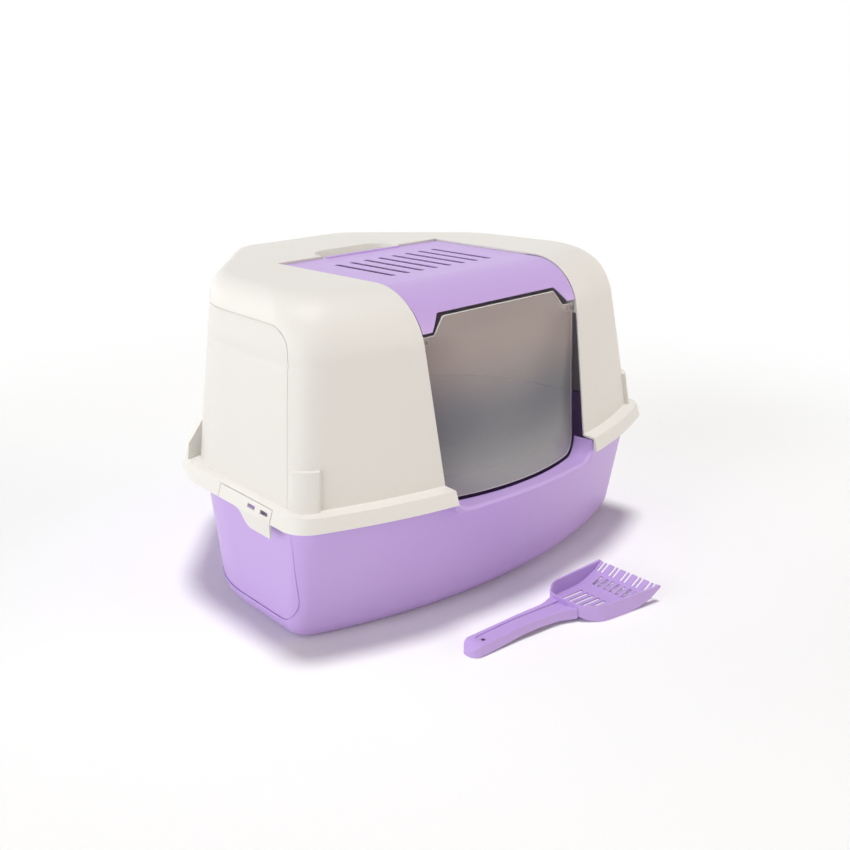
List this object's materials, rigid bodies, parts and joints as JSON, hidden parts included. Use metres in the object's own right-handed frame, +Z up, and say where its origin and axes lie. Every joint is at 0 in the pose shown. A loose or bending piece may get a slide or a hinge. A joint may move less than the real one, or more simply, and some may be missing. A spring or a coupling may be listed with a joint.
{
  "type": "corner litter box",
  "caption": "Hooded corner litter box: deep tray with a dipped sill, lift-off hood, hinged vented roof panel, swinging flap, side latches and a slotted scoop.",
  "frame": {"origin": "on the floor, at the middle of the tray's footprint between the front and the rear of the hood's skirt", "axes": "+X to the right of the doorway, -Y out of the doorway, +Z up"},
  "size_m": [0.6368, 0.6328, 0.392],
  "materials": {
    "tray_plastic": "satin moulded",
    "hood_plastic": "satin moulded",
    "holder_plastic": "satin moulded",
    "charcoal": "open foam",
    "flap_plastic": "smoky translucent"
  },
  "bodies": {
    "tray": {"litter_tray": "tray_plastic"},
    "hood_shell": {"hood": "hood_plastic"},
    "roof": {"roof_panel": "tray_plastic", "filter_holder": "holder_plastic", "charcoal_filter": "charcoal"},
    "flap": {"door_flap": "flap_plastic"},
    "latch_right": {"right_latch": "hood_plastic"},
    "latch_left": {"left_latch": "hood_plastic"},
    "litter_scoop": {"scoop": "tray_plastic"}
  },
  "joints": [
    {"name": "hood_lift", "type": "slide", "parent": "tray", "child": "hood_shell", "axis": [0, 0, 1], "range_m": [0, 0.3]},
    {"name": "roof_hinge", "type": "hinge", "parent": "hood_shell", "child": "roof", "pos_m": [0, -0.1835, 0.349], "axis": [1, 0, 0], "range_deg": [0, 75]},
    {"name": "flap_swing", "type": "hinge", "parent": "hood_shell", "child": "flap", "pos_m": [0, -0.1865, 0.33], "axis": [1, 0, 0], "range_deg": [-80, 80]},
    {"name": "latch_right_pull", "type": "hinge", "parent": "hood_shell", "child": "latch_right", "pos_m": [0.30479, -0.08016, 0.1644], "axis": [0.0995, -0.995, 0], "range_deg": [0, 25], "stiffness_Nm_per_rad": 0.2},
    {"name": "latch_left_pull", "type": "hinge", "parent": "hood_shell", "child": "latch_left", "pos_m": [-0.30479, -0.08016, 0.1644], "axis": [0.0995, 0.995, 0], "range_deg": [0, 25], "stiffness_Nm_per_rad": 0.2},
    {"name": "scoop_lift", "type": "slide", "parent": "tray", "child": "litter_scoop", "axis": [0, 0, 1], "range_m": [0, 0.1]}
  ]
}
